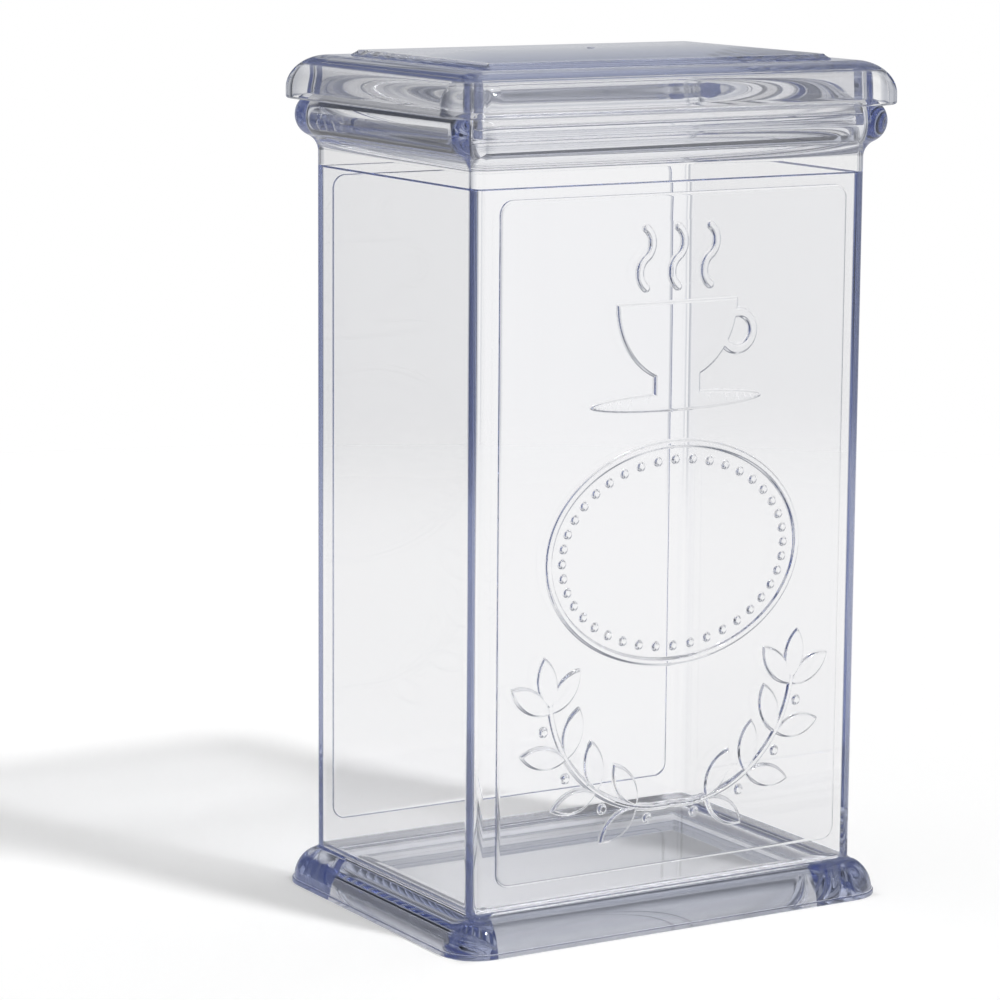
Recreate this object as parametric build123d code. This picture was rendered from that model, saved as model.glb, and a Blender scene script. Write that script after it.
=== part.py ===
"""A clear moulded tea canister: a rectangular tub with a beaded collar and a flared foot, a
lift-off lid with a plug that goes down inside the neck, and the seal round the plug.

Millimetres. +Z is up, the front is the wide side that faces -Y, and the origin is at the
centre of the foot, on the surface that the canister stands on.
"""

from build123d import *
import math
import os

# The tub
wall_width = 110.0
wall_depth = 77.0
rim_height = 203.6
wall_thickness = 2.6
corner_radius = 3.1
floor_top = 7.9
floor_thickness = 2.4
floor_fillet = 2.8

# The flared foot, where offsets are counted outwards from the wall's outer face
foot_offset = 6.6
foot_flange_height = 1.3
foot_bow_offset = 6.1
foot_bow_radius = 7.8
foot_cove_radius = 1.0
hollow_offset = -9.0
hollow_radius = 2.0

# The collar and the neck above it, where depths are counted down from the rim
bead_depth = 12.0
bead_radius = 5.4
bead_offset = 0.25
collar_cove_radius = 4.3
neck_offset = 1.6
neck_wall = 2.55
neck_edge_radius = 0.5
ledge_depth = 24.5

# The raised panels on the front and the back
panel_side_margin = 6.5
panel_bottom = 15.0
panel_top_depth = 26.9
panel_radius = 3.4
panel_height = 0.8
panel_edge_radius = 0.6

# The raised ornament on the front panel: a steaming cup, a bare plaque and two sprigs
relief_height = 0.8
ornament_top_margin = 8.0
cup_width = 34.0
cup_height = 19.0
cup_foot_width = 13.0
cup_foot_height = 2.6
cup_handle_radius = 5.6
cup_handle_width = 2.4
cup_handle_drop = 8.0
saucer_width = 48.0
saucer_height = 4.4
steam_wave = 7.0
steam_sway = 1.75
steam_gap = 3.5
steam_width = 2.0
steam_spacing = 9.0
plaque_side_margin = 12.5
plaque_gap = 7.0
plaque_nest = 34.0
plaque_ridge = 1.8
plaque_bead_inset = 4.6
plaque_bead_radius = 1.1
plaque_bead_count = 40
sprig_side_margin = 14.0
sprig_bottom_margin = 15.0
sprig_rise = 28.0
sprig_bulge = 9.0
sprig_stem = 1.6
leaf_length = 13.0
leaf_width = 5.6
leaf_lean = 48.0
leaf_pairs = 4
leaf_place = 0.8
tip_leaf_place = 0.88
berry_place = 0.52
berry_radius = 1.2
berry_offset = 2.8

# The lid
skirt_offset = 7.8
skirt_wall = 1.9
skirt_drop = 8.0
skirt_edge_radius = 0.6
skirt_upright = 2.4
lid_thickness = 2.4
shoulder_start = 0.5
ceiling_offset = 1.9
plateau_offset = -6.3
plateau_step = 1.2
plateau_crown = 1.0
plateau_radius = 1.5
plateau_edge = 0.8
gate_radius = 0.9
gate_height = 0.2

# The plug under the lid, and the seal round it
plug_clearance = 0.55
plug_wall = 2.4
plug_depth = 12.6
plug_edge = 0.4
seal_clearance = 0.3
seal_seat = 0.85
seal_height = 1.4
seal_above_plug_end = 1.0
seal_edge_radius = 0.35

front_y = -wall_depth / 2
neck_inner = neck_offset - neck_wall
plug_outer = neck_inner - plug_clearance
plug_inner = plug_outer - plug_wall
seal_outer = neck_inner - seal_clearance
seal_inner = plug_outer - seal_seat
plug_end = rim_height - plug_depth
seal_bottom = plug_end + seal_above_plug_end
panel_face_y = front_y - panel_height
panel_width = wall_width - 2 * panel_side_margin
panel_top = rim_height - panel_top_depth
shoulder_offset = shoulder_start - corner_radius

steam_z = panel_top - ornament_top_margin - 2 * steam_wave
cup_rim_z = steam_z - steam_gap
cup_foot_z = cup_rim_z - cup_height
saucer_z = cup_foot_z - cup_foot_height - saucer_height / 2
sprig_z = panel_bottom + sprig_bottom_margin
sprig_reach = panel_width / 2 - sprig_side_margin
plaque_top = saucer_z - saucer_height / 2 - plaque_gap
plaque_half_width = panel_width / 2 - plaque_side_margin
plaque_half_height = (plaque_top - sprig_z - plaque_nest) / 2
plaque_z = plaque_top - plaque_half_height


def outline(offset, radius=None):
    """The wall's outline moved out by an offset, with corners that stay concentric. An outline
    that lies further in than the corners' centres has sharp corners."""
    corner = corner_radius + offset if radius is None else radius
    width, depth = wall_width + 2 * offset, wall_depth + 2 * offset
    return RectangleRounded(width, depth, corner) if corner > 0 else Rectangle(width, depth)


def block(offset, bottom, top, radius=None):
    """A solid block of the wall's outline at an offset, between two heights."""
    return Pos(0, 0, bottom) * extrude(outline(offset, radius), top - bottom)


def wall_path():
    """The wall's outline as one closed path that starts in the middle of the right side."""
    x, y, r = wall_width / 2, wall_depth / 2, corner_radius
    with BuildLine() as path:
        Line((x, 0), (x, y - r))
        CenterArc((x - r, y - r), r, 0, 90)
        Line((x - r, y), (r - x, y))
        CenterArc((r - x, y - r), r, 90, 90)
        Line((-x, y - r), (-x, r - y))
        CenterArc((r - x, r - y), r, 180, 90)
        Line((r - x, -y), (x - r, -y))
        CenterArc((x - r, r - y), r, 270, 90)
        Line((x, r - y), (x, 0))
    return path.wire()


def ring(section):
    """A section drawn in offset and height, carried round the wall's outline."""
    plane = Plane(origin=(wall_width / 2, 0, 0), x_dir=(1, 0, 0), z_dir=(0, -1, 0))
    return sweep(plane * section, path=wall_path())


def cove(centre, radius, cove_radius, side):
    """Where a hollow arc between the wall and a round bow starts on the wall and ends on the
    bow, and the arc's own centre. side is 1 for a cove above the bow and -1 for one below."""
    rise = math.sqrt((radius + cove_radius) ** 2 - (cove_radius - centre[0]) ** 2)
    middle = (cove_radius, centre[1] + side * rise)
    share = radius / (radius + cove_radius)
    end = tuple(c + (m - c) * share for c, m in zip(centre, middle))
    return (0, middle[1]), end, middle


def point_on(centre, radius, angle):
    """A point on a circle, at an angle in degrees."""
    turn = math.radians(angle)
    return centre[0] + radius * math.cos(turn), centre[1] + radius * math.sin(turn)


def arc_middle(first, last, centre, radius):
    """The middle point of the short arc between two points of a circle."""
    x = (first[0] + last[0]) / 2 - centre[0]
    y = (first[1] + last[1]) / 2 - centre[1]
    length = math.hypot(x, y)
    return centre[0] + x / length * radius, centre[1] + y / length * radius


def foot_section():
    """The flared foot: a thin flange, a round bow above it and a small cove up to the wall."""
    centre = (foot_bow_offset - foot_bow_radius, foot_flange_height)
    start, end, middle = cove(centre, foot_bow_radius, foot_cove_radius, 1)
    top_angle = math.degrees(math.atan2(end[1] - centre[1], end[0] - centre[0]))
    root = -wall_thickness / 2
    with BuildSketch() as section:
        with BuildLine():
            Polyline((root, start[1]), (root, 0), (foot_offset, 0), (foot_offset, foot_flange_height),
                     (foot_bow_offset, foot_flange_height))
            CenterArc(centre, foot_bow_radius, 0, top_angle)
            ThreePointArc(end, arc_middle(end, start, middle, foot_cove_radius), start)
            Line(start, (root, start[1]))
        make_face()
    return section.sketch


def collar_section():
    """The collar's bead, with a cove below it and the neck standing up from it."""
    centre = (bead_offset, rim_height - bead_depth)
    start, end, middle = cove(centre, bead_radius, collar_cove_radius, -1)
    low_angle = math.degrees(math.atan2(end[1] - centre[1], end[0] - centre[0]))
    high_angle = math.degrees(math.acos((neck_offset - centre[0]) / bead_radius))
    shoulder = point_on(centre, bead_radius, high_angle)
    round_start = (neck_offset, rim_height - neck_edge_radius)
    round_end = (neck_offset - neck_edge_radius, rim_height)
    with BuildSketch() as section:
        with BuildLine():
            Line((neck_inner, start[1]), start)
            ThreePointArc(start, arc_middle(start, end, middle, collar_cove_radius), end)
            CenterArc(centre, bead_radius, low_angle, high_angle - low_angle)
            Line(shoulder, round_start)
            RadiusArc(round_start, round_end, -neck_edge_radius)
            Polyline(round_end, (neck_inner, rim_height), (neck_inner, start[1]))
        make_face()
    return section.sketch


def panel(side):
    """A raised panel with a softened edge, on the front (side -1) or the back (side 1)."""
    plane = Plane(origin=(0, side * wall_depth / 2, (panel_bottom + panel_top) / 2),
                  x_dir=(-side, 0, 0), z_dir=(0, side, 0))
    face = RectangleRounded(panel_width, panel_top - panel_bottom, panel_radius)
    pad = extrude(face, panel_height)
    pad = fillet(pad.faces().sort_by(Axis.Z)[-1].edges(), panel_edge_radius)
    root = extrude(face, -wall_thickness / 2)
    return plane * (pad + root)


def leaf(direction):
    """A pointed leaf that starts at the origin and points in a direction in degrees."""
    with BuildSketch() as shape:
        with BuildLine():
            ThreePointArc((0, 0), (leaf_length / 2, leaf_width / 2), (leaf_length, 0))
            ThreePointArc((leaf_length, 0), (leaf_length / 2, -leaf_width / 2), (0, 0))
        make_face()
    return Rot(0, 0, direction) * shape.sketch


def cup():
    """A cup with its handle, standing on a saucer."""
    bowl = Pos(0, cup_rim_z) * Ellipse(cup_width / 2, cup_height)
    bowl = bowl & Pos(0, cup_foot_z) * Rectangle(cup_width, 2 * cup_height)
    handle = Circle(cup_handle_radius) - Circle(cup_handle_radius - cup_handle_width)
    return [
        bowl,
        Pos(cup_width / 2, cup_rim_z - cup_handle_drop) * handle,
        Pos(0, cup_foot_z) * Rectangle(cup_foot_width, 2 * (cup_foot_z - saucer_z)),
        Pos(0, saucer_z) * Ellipse(saucer_width / 2, saucer_height / 2),
    ]


def wisp(x):
    """A wisp of steam: one arc to the left and one to the right."""
    middle_z = steam_z + steam_wave
    with BuildLine() as path:
        ThreePointArc((x, steam_z), (x - steam_sway, steam_z + steam_wave / 2), (x, middle_z))
        ThreePointArc((x, middle_z), (x + steam_sway, middle_z + steam_wave / 2),
                      (x, middle_z + steam_wave))
    return trace(path.line, steam_width)


def plaque():
    """A bare oval plaque: a raised rim and a row of beads inside it."""
    rim = Ellipse(plaque_half_width, plaque_half_height)
    rim = rim - Ellipse(plaque_half_width - plaque_ridge, plaque_half_height - plaque_ridge)
    shapes = [Pos(0, plaque_z) * rim]
    for index in range(plaque_bead_count):
        turn = 2 * math.pi * index / plaque_bead_count
        x = (plaque_half_width - plaque_bead_inset) * math.cos(turn)
        z = plaque_z + (plaque_half_height - plaque_bead_inset) * math.sin(turn)
        shapes.append(Pos(x, z) * Circle(plaque_bead_radius))
    return shapes


def sprig(side):
    """A leafy twig with berries that starts in the middle and bows out and up to one side.
    The stem has an equal stretch for each pair of leaves, and the places count along it."""
    tip = (side * sprig_reach, sprig_z + sprig_rise)
    middle = (side * (sprig_reach / 2 + sprig_bulge), sprig_z + (sprig_rise - sprig_bulge) / 2)
    with BuildLine() as path:
        ThreePointArc((0, sprig_z), middle, tip)
    stem = path.edges()[0]
    shapes = [trace(path.line, sprig_stem)]
    for index in range(leaf_pairs):
        share = (index + leaf_place) / leaf_pairs
        place = stem @ share
        ahead = math.degrees(math.atan2((stem % share).Y, (stem % share).X))
        for lean in (-leaf_lean, leaf_lean):
            shapes.append(Pos(place.X, place.Y) * leaf(ahead + lean))
        behind = (index + berry_place) / leaf_pairs
        across = (stem % behind).rotate(Axis.Z, -90 * side) * berry_offset
        berry = stem @ behind + across
        shapes.append(Pos(berry.X, berry.Y) * Circle(berry_radius))
    last = (leaf_pairs - 1 + tip_leaf_place) / leaf_pairs
    place = stem @ last
    ahead = math.degrees(math.atan2((stem % last).Y, (stem % last).X))
    shapes.append(Pos(place.X, place.Y) * leaf(ahead))
    return shapes


def relief():
    """All the raised ornament, as solids rooted in the front wall behind the panel."""
    plane = Plane(origin=(0, panel_face_y, 0), x_dir=(1, 0, 0), z_dir=(0, -1, 0))
    wisps = [wisp(step * steam_spacing) for step in (-1, 0, 1)]
    drawing = Sketch() + cup() + wisps + plaque() + sprig(-1) + sprig(1)
    root = panel_height + wall_thickness / 2
    return plane * (Pos(0, 0, -root) * extrude(drawing, relief_height + root))


def trough(length, width, direction):
    """A long block with its two lower edges rounded: the tub's inside, seen along one side."""
    low, high, half = floor_top, rim_height, width / 2
    with BuildSketch() as section:
        with BuildLine():
            Polyline((half, low + floor_fillet), (half, high), (-half, high),
                     (-half, low + floor_fillet))
            RadiusArc((-half, low + floor_fillet), (floor_fillet - half, low), -floor_fillet)
            Line((floor_fillet - half, low), (half - floor_fillet, low))
            RadiusArc((half - floor_fillet, low), (half, low + floor_fillet), -floor_fillet)
        make_face()
    plane = Plane(origin=(0, 0, 0), x_dir=(direction[0], direction[1], 0),
                  z_dir=(direction[1], -direction[0], 0))
    return extrude(plane * section.sketch, length / 2, both=True)


def canister_body():
    """The tub with its foot, floor, collar, neck, panels and ornament, all one moulding."""
    body = block(0, 0, rim_height - ledge_depth / 2)
    body = body + ring(foot_section()) + ring(collar_section())
    body = body + panel(-1) + panel(1)
    body = body + relief()
    inner_width, inner_depth = wall_width - 2 * wall_thickness, wall_depth - 2 * wall_thickness
    inside = block(-wall_thickness, floor_top, rim_height)
    inside = inside & trough(inner_depth + 1, inner_width, (1, 0))
    inside = inside & trough(inner_width + 1, inner_depth, (0, 1))
    mouth = block(neck_inner, rim_height - ledge_depth, rim_height)
    hollow = block(hollow_offset, 0, floor_top - floor_thickness)
    hollow = fillet(hollow.faces().sort_by(Axis.Z)[-1].edges(), hollow_radius)
    return body - inside - mouth - hollow


def skirt_section():
    """The lid's round shoulder and skirt, from the flat of the ceiling to the lower edge."""
    low = rim_height - skirt_drop
    spring = low + skirt_upright
    top = rim_height + lid_thickness
    inner = skirt_offset - skirt_wall
    root = shoulder_offset - shoulder_start / 2
    with BuildSketch() as section:
        with BuildLine():
            Line((root, rim_height), (ceiling_offset, rim_height))
            EllipticalCenterArc((ceiling_offset, spring), inner - ceiling_offset,
                                rim_height - spring, arc_size=90)
            Polyline((inner, spring), (inner, low), (skirt_offset - skirt_edge_radius, low))
            RadiusArc((skirt_offset - skirt_edge_radius, low),
                      (skirt_offset, low + skirt_edge_radius), -skirt_edge_radius)
            Line((skirt_offset, low + skirt_edge_radius), (skirt_offset, spring))
            EllipticalCenterArc((shoulder_offset, spring), skirt_offset - shoulder_offset,
                                top - spring, arc_size=90)
            Polyline((shoulder_offset, top), (root, top), (root, rim_height))
        make_face()
    return section.sketch


def plateau():
    """The raised middle of the lid: an edge step, and a top that is arched from front to back."""
    low = rim_height + lid_thickness / 2
    edge = rim_height + lid_thickness + plateau_step
    half_depth = wall_depth / 2 + plateau_offset
    half_width = wall_width / 2 + plateau_offset
    with BuildSketch(Plane.YZ) as profile:
        with BuildLine():
            Polyline((half_depth, edge), (half_depth, low), (-half_depth, low), (-half_depth, edge))
            ThreePointArc((-half_depth, edge), (0, edge + plateau_crown), (half_depth, edge))
        make_face()
    solid = Pos(-half_width, 0, 0) * extrude(profile.sketch, 2 * half_width, dir=(1, 0, 0))
    solid = fillet(solid.edges().filter_by(Axis.Z), plateau_radius)
    rim = [line for line in solid.edges() if line.bounding_box().min.Z > edge - plateau_step / 2]
    solid = chamfer(rim, plateau_edge)
    gate = Pos(0, 0, edge) * extrude(Circle(gate_radius), plateau_crown + gate_height)
    return solid + gate


def lid():
    """The lid with its skirt, plateau and plug, one moulding, with the seal's groove cut in."""
    shell = block(shoulder_offset, rim_height, rim_height + lid_thickness)
    shell = shell + ring(skirt_section()) + plateau()
    plug = block(plug_outer, plug_end, rim_height + lid_thickness / 2)
    plug = chamfer(plug.faces().sort_by(Axis.Z)[0].edges(), plug_edge)
    plug = plug - block(plug_inner, plug_end, rim_height)
    groove = block(plug_outer, seal_bottom, seal_bottom + seal_height)
    groove = groove - block(seal_inner, seal_bottom, seal_bottom + seal_height)
    return shell + plug - groove


def seal_ring():
    """The soft clear seal that sits in the plug's groove and stands just proud of it."""
    seal = block(seal_outer, seal_bottom, seal_bottom + seal_height)
    faces = seal.faces().sort_by(Axis.Z)
    seal = fillet(faces[0].edges() + faces[-1].edges(), seal_edge_radius)
    return seal - block(seal_inner, seal_bottom, seal_bottom + seal_height)


os.makedirs("parts", exist_ok=True)
pieces = {"canister_body": canister_body(), "lid": lid(), "seal_ring": seal_ring()}
for name, piece in pieces.items():
    export_step(piece, "parts/" + name + ".step")
    print(name, round(piece.volume / 1000, 2), "cubic centimetres")
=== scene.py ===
import math

import bpy
import numpy as np
from mathutils import Matrix, Vector
from mathutils.geometry import delaunay_2d_cdt


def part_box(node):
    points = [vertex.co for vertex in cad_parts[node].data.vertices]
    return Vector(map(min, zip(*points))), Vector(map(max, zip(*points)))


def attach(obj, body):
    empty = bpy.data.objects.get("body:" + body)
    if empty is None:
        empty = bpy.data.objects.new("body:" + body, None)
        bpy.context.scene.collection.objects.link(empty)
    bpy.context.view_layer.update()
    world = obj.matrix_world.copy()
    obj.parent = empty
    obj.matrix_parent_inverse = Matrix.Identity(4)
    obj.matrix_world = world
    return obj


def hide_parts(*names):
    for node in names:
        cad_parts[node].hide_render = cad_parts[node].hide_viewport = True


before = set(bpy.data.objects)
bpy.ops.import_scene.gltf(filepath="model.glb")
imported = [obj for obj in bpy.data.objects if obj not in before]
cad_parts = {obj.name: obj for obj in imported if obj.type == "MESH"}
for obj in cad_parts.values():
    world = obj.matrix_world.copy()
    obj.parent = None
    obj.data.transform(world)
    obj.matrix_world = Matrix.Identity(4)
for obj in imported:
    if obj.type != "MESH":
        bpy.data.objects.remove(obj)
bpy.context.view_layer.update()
print("frame loaded:", ", ".join(sorted(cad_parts)))

# Shapes are worked out in millimetres, and turned into metres when a mesh is made.
# Offsets (o) count outwards from the wall's outer face, and z counts up from the floor.
millimetre = 0.001  # in metres
weldLines = 5000  # lines per millimetre of the grid on which points are rounded and welded
tiny = 1e-6  # what counts as nothing
mergeReach = 1e-5  # flat points this near to each other are one when triangles are made
leastArea = 1e-9  # smaller triangles are left out

plan = {
    "flange": 6.6,  # how far the foot stands out past the wall
    "cornerRadius": 3.1,
    "cornerSteps": 18,  # in each quarter turn
}
# The wall's own half width and half depth, and the level of the rim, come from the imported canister
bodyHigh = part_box("canister_body")[1] / millimetre
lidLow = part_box("lid")[0] / millimetre
sealLow, sealHigh = (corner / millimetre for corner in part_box("seal_ring"))
halfWidth = round(bodyHigh.x, 2) - plan["flange"]
halfDepth = round(bodyHigh.y, 2) - plan["flange"]
rimZ = round(bodyHigh.z, 2)


# Mesh making: points with their own normals are gathered, welded and written once

class Gathered:
    def __init__(self):
        self.points, self.normals, self.faces, self.count = [], [], [], 0

    def add(self, points, normals, *faceSets):
        # Each set of faces is an array of corner numbers, one row for a face
        points = np.asarray(points, float).reshape(-1, 3)
        normals = np.asarray(normals, float).reshape(-1, 3)
        for faces in faceSets:
            # A face whose corners run against its normals is turned over
            ring = points[faces]
            area = np.cross(ring, np.roll(ring, -1, axis=1)).sum(axis=1)
            wrong = (area * normals[faces].sum(axis=1)).sum(axis=1) < 0
            faces = faces.copy()
            faces[wrong] = faces[wrong][:, ::-1]
            self.faces.append(faces + self.count)
        self.points.append(points)
        self.normals.append(normals)
        self.count += len(points)

    def makePiece(self, name):
        points = np.vstack(self.points)
        normals = np.vstack(self.normals)
        key = np.round(points * weldLines).astype(np.int64)
        _, first, weld = np.unique(key, axis=0, return_index=True, return_inverse=True)
        weld = weld.ravel()
        # Corners that fell together are left out, and faces that have fewer than three left
        corners, counts = [], []
        for faces in self.faces:
            apart = weld[faces] != np.roll(weld[faces], 1, axis=1)
            apart[apart.sum(axis=1) < 3] = False
            corners.append(faces[apart])
            counts.append(apart.sum(axis=1)[apart.any(axis=1)])
        corners, counts = np.concatenate(corners), np.concatenate(counts)
        mesh = bpy.data.meshes.new(name)
        mesh.vertices.add(len(first))
        mesh.vertices.foreach_set("co", (points[first] * millimetre).ravel())
        mesh.loops.add(len(corners))
        mesh.loops.foreach_set("vertex_index", weld[corners])
        mesh.polygons.add(len(counts))
        mesh.polygons.foreach_set("loop_start", np.cumsum(counts) - counts)
        mesh.update(calc_edges=True)
        mesh.polygons.foreach_set("use_smooth", np.ones(len(counts), bool))
        mesh.normals_split_custom_set(normals[corners].tolist())
        piece = bpy.data.objects.new(name, mesh)
        bpy.context.collection.objects.link(piece)
        print(name, "has", len(mesh.vertices), "points and", len(counts), "faces")
        return piece


def gridFaces(rows, columns, skip=()):
    # Quads between neighbouring rows and columns, from the last column on to the first again
    row, column = np.meshgrid(np.arange(rows - 1), np.arange(columns), indexing="ij")
    column, row = column.ravel(), row.ravel()
    keep = ~np.isin(column, skip)
    row, column = row[keep], column[keep]
    after = (column + 1) % columns
    below = row * columns
    return np.stack([below + column, below + after, below + columns + after, below + columns + column], 1)


def roundedCorners(steps):
    # Which corner each station belongs to, as signs, and the outward direction there
    turn = np.concatenate([np.linspace(0, 90, steps + 1) + 90 * corner for corner in range(4)])
    signs = np.repeat([[1, 1], [-1, 1], [-1, -1], [1, -1]], steps + 1, axis=0)
    turn = np.radians(turn)
    return signs, np.stack([np.cos(turn), np.sin(turn)], 1)


def roundedLoop(halfX, halfY, radius, steps, inset=0.0):
    # A rounded rectangle: corner centres plus the radius times the outward direction
    signs, outward = roundedCorners(steps)
    return signs * [halfX - radius, halfY - radius] + (radius - inset) * outward


# Profiles: stretches of line and arc in (o, z), with their normals on the left of the way along

def unit(vectors):
    # Each vector divided by its own length
    return vectors / np.linalg.norm(vectors, axis=-1, keepdims=True)


def leftOf(along):
    # A quarter turn to the left, from (x, y) to (-y, x), with a length of 1
    along = unit(along)
    return np.stack([-along[..., 1], along[..., 0]], -1)


def straight(start, end):
    # The two ends of a line, with one normal at both
    points = np.array([start, end], float)
    return points, np.repeat(leftOf(points[1:] - points[:1]), 2, axis=0)


def curve(centre, radii, fromAngle, toAngle, steps):
    # Points at centre + (a cos t, b sin t) on an ellipse, with t between two angles in degrees
    a, b = (radii, radii) if np.isscalar(radii) else radii
    turn = np.radians(np.linspace(fromAngle, toAngle, steps + 1))
    points = np.stack([centre[0] + a * np.cos(turn), centre[1] + b * np.sin(turn)], 1)
    along = np.stack([-a * np.sin(turn), b * np.cos(turn)], 1) * np.sign(toAngle - fromAngle)
    return points, leftOf(along)


def roundedWay(corners, steps=5):
    # Straight runs through (o, z, radius) corners, with an arc of that radius at each, which starts
    # radius * tan(bend / 2) before the corner and ends as far after it
    corners = np.array(corners, float)
    stretches = []
    start = corners[0, :2]
    for before, here, after in zip(corners[:-2], corners[1:-1], corners[2:]):
        arriving = (here[:2] - before[:2]) / np.linalg.norm(here[:2] - before[:2])
        leaving = (after[:2] - here[:2]) / np.linalg.norm(after[:2] - here[:2])
        side = np.sign(arriving[0] * leaving[1] - arriving[1] * leaving[0])
        bend = math.acos(np.clip(arriving @ leaving, -1, 1))
        cut = here[2] * math.tan(bend / 2)
        arcStart = here[:2] - arriving * cut
        if np.linalg.norm(arcStart - start) > tiny:
            stretches.append(straight(start, arcStart))
        if here[2] > 0:
            centre = arcStart + side * here[2] * leftOf(arriving)
            first = math.degrees(math.atan2(*(arcStart - centre)[::-1]))
            stretches.append(curve(centre, here[2], first, first + side * math.degrees(bend), steps))
        start = here[:2] + leaving * cut
    if np.linalg.norm(corners[-1, :2] - start) > tiny:
        stretches.append(straight(start, corners[-1, :2]))
    return stretches


def wallLoop(offsets):
    # Each station lies its corner radius plus the offset out from its corner's centre. Where that is
    # less than nothing the corner is sharp, and all its stations meet in one point.
    signs, outward = roundedCorners(plan["cornerSteps"])
    radius = plan["cornerRadius"]
    reach = radius + np.asarray(offsets, float)[..., None, None]
    centres = signs * [halfWidth - radius, halfDepth - radius] + signs * np.minimum(reach, 0)
    return centres + np.maximum(reach, 0) * outward


def carryRound(gathered, stretches, air=1, skipOn=None, skip=()):
    # A profile carried round the wall's outline: its point (o, z) comes to lie o outside the outline,
    # at height z. The open air is on the left of the way for air = 1, and on the right for -1.
    signs, outward = roundedCorners(plan["cornerSteps"])
    for points, normals in stretches:
        place = wallLoop(points[:, 0])
        level = np.broadcast_to(points[:, 1, None, None], place.shape[:2] + (1,))
        tilt = air * normals[:, 0, None, None] * outward
        rise = np.broadcast_to(air * normals[:, 1, None, None], tilt.shape[:2] + (1,))
        left = skip if points is skipOn else ()
        gathered.add(np.concatenate([place, level], 2), np.concatenate([tilt, rise], 2),
                     gridFaces(len(points), len(signs), skip=left))


def capLoop(gathered, offset, level, rise):
    # A flat face across the middle, inside the ring at one offset
    place = wallLoop(offset)
    points = np.column_stack([place, np.full(len(place), level)])
    gathered.add(points, np.tile([0, 0, rise], (len(points), 1)), np.arange(len(points))[None])


def trianglesIn(points, outline):
    # Delaunay triangles over flat points, without those whose middle lies where outline is negative
    flat = [Vector(point) for point in points]
    _, _, faces, origins, _, _ = delaunay_2d_cdt(flat, [], [], 0, mergeReach)
    source = np.array([origin[0] for origin in origins])
    faces = source[np.array(faces)]
    corners = points[faces]
    first, second = corners[:, 1] - corners[:, 0], corners[:, 2] - corners[:, 0]
    area = np.abs(first[:, 0] * second[:, 1] - first[:, 1] * second[:, 0])
    keep = area > leastArea
    if outline is not None:
        keep &= outline(corners.mean(axis=1)) > 0
    return faces[keep]


# Distances: each gives how far flat points lie outside a shape, negative inside

def discDistance(points, centre, radius):
    # The distance to the centre, less the radius
    return np.linalg.norm(points - centre, axis=1) - radius


def boxDistance(points, centre, half, radius=0.0):
    # The distance to a box that is smaller by the radius all round, less the radius
    over = np.abs(points - centre) - np.array(half) + radius
    return np.linalg.norm(np.maximum(over, 0), axis=1) + np.minimum(over.max(axis=1), 0) - radius


def ovalDistance(points, centre, half):
    # With k the length of (point - centre) / half, which is 1 on the oval: k (k - 1), divided by the
    # length of (point - centre) / half^2
    half = np.array(half, float)
    scaled = (points - centre) / half
    level = np.maximum(np.linalg.norm(scaled, axis=1), tiny)
    slope = np.maximum(np.linalg.norm(scaled / half, axis=1), tiny)
    return level * (level - 1) / slope


def arcThrough(first, middle, last):
    # Centre, radius, first angle and sweep of the arc through three points. The centre is as far from
    # each of them, which for points a and b means 2 (b - a) . centre = b.b - a.a
    (ax, ay), (bx, by), (cx, cy) = first, middle, last
    aa, bb, cc = ax**2 + ay**2, bx**2 + by**2, cx**2 + cy**2
    divisor = 2 * (ax * (by - cy) + bx * (cy - ay) + cx * (ay - by))
    x = (aa * (by - cy) + bb * (cy - ay) + cc * (ay - by)) / divisor
    y = (aa * (cx - bx) + bb * (ax - cx) + cc * (bx - ax)) / divisor
    centre = np.array([x, y])
    start, mid, end = (math.atan2(*(np.array(point) - centre)[::-1]) for point in (first, middle, last))
    sweep = (end - start) % (2 * math.pi)
    if (mid - start) % (2 * math.pi) > sweep:
        sweep -= 2 * math.pi
    return centre, float(np.hypot(*(np.array(first) - centre))), start, sweep


def strokeDistance(points, arc, width):
    # A band along an arc, with round ends: the distance to the circle beside the arc, or else to the
    # nearer end, less half the width
    centre, radius, start, sweep = arc
    around = points - centre
    angle = np.arctan2(around[:, 1], around[:, 0]) - start
    share = (angle * np.sign(sweep)) % (2 * math.pi) / abs(sweep)
    beside = np.abs(np.linalg.norm(around, axis=1) - radius)
    turns = (start, start + sweep)
    ends = [centre + radius * np.array([math.cos(turn), math.sin(turn)]) for turn in turns]
    past = np.minimum(*(np.linalg.norm(points - end, axis=1) for end in ends))
    return np.where(share <= 1, beside, past) - width / 2


def onArc(arc, share):
    # The point centre + radius (cos a, sin a) a share of the way along an arc, and the heading there
    centre, radius, start, sweep = arc
    angle = start + sweep * share
    outward = np.array([math.cos(angle), math.sin(angle)])
    heading = np.array([-outward[1], outward[0]]) * np.sign(sweep)
    return centre + radius * outward, heading


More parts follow.
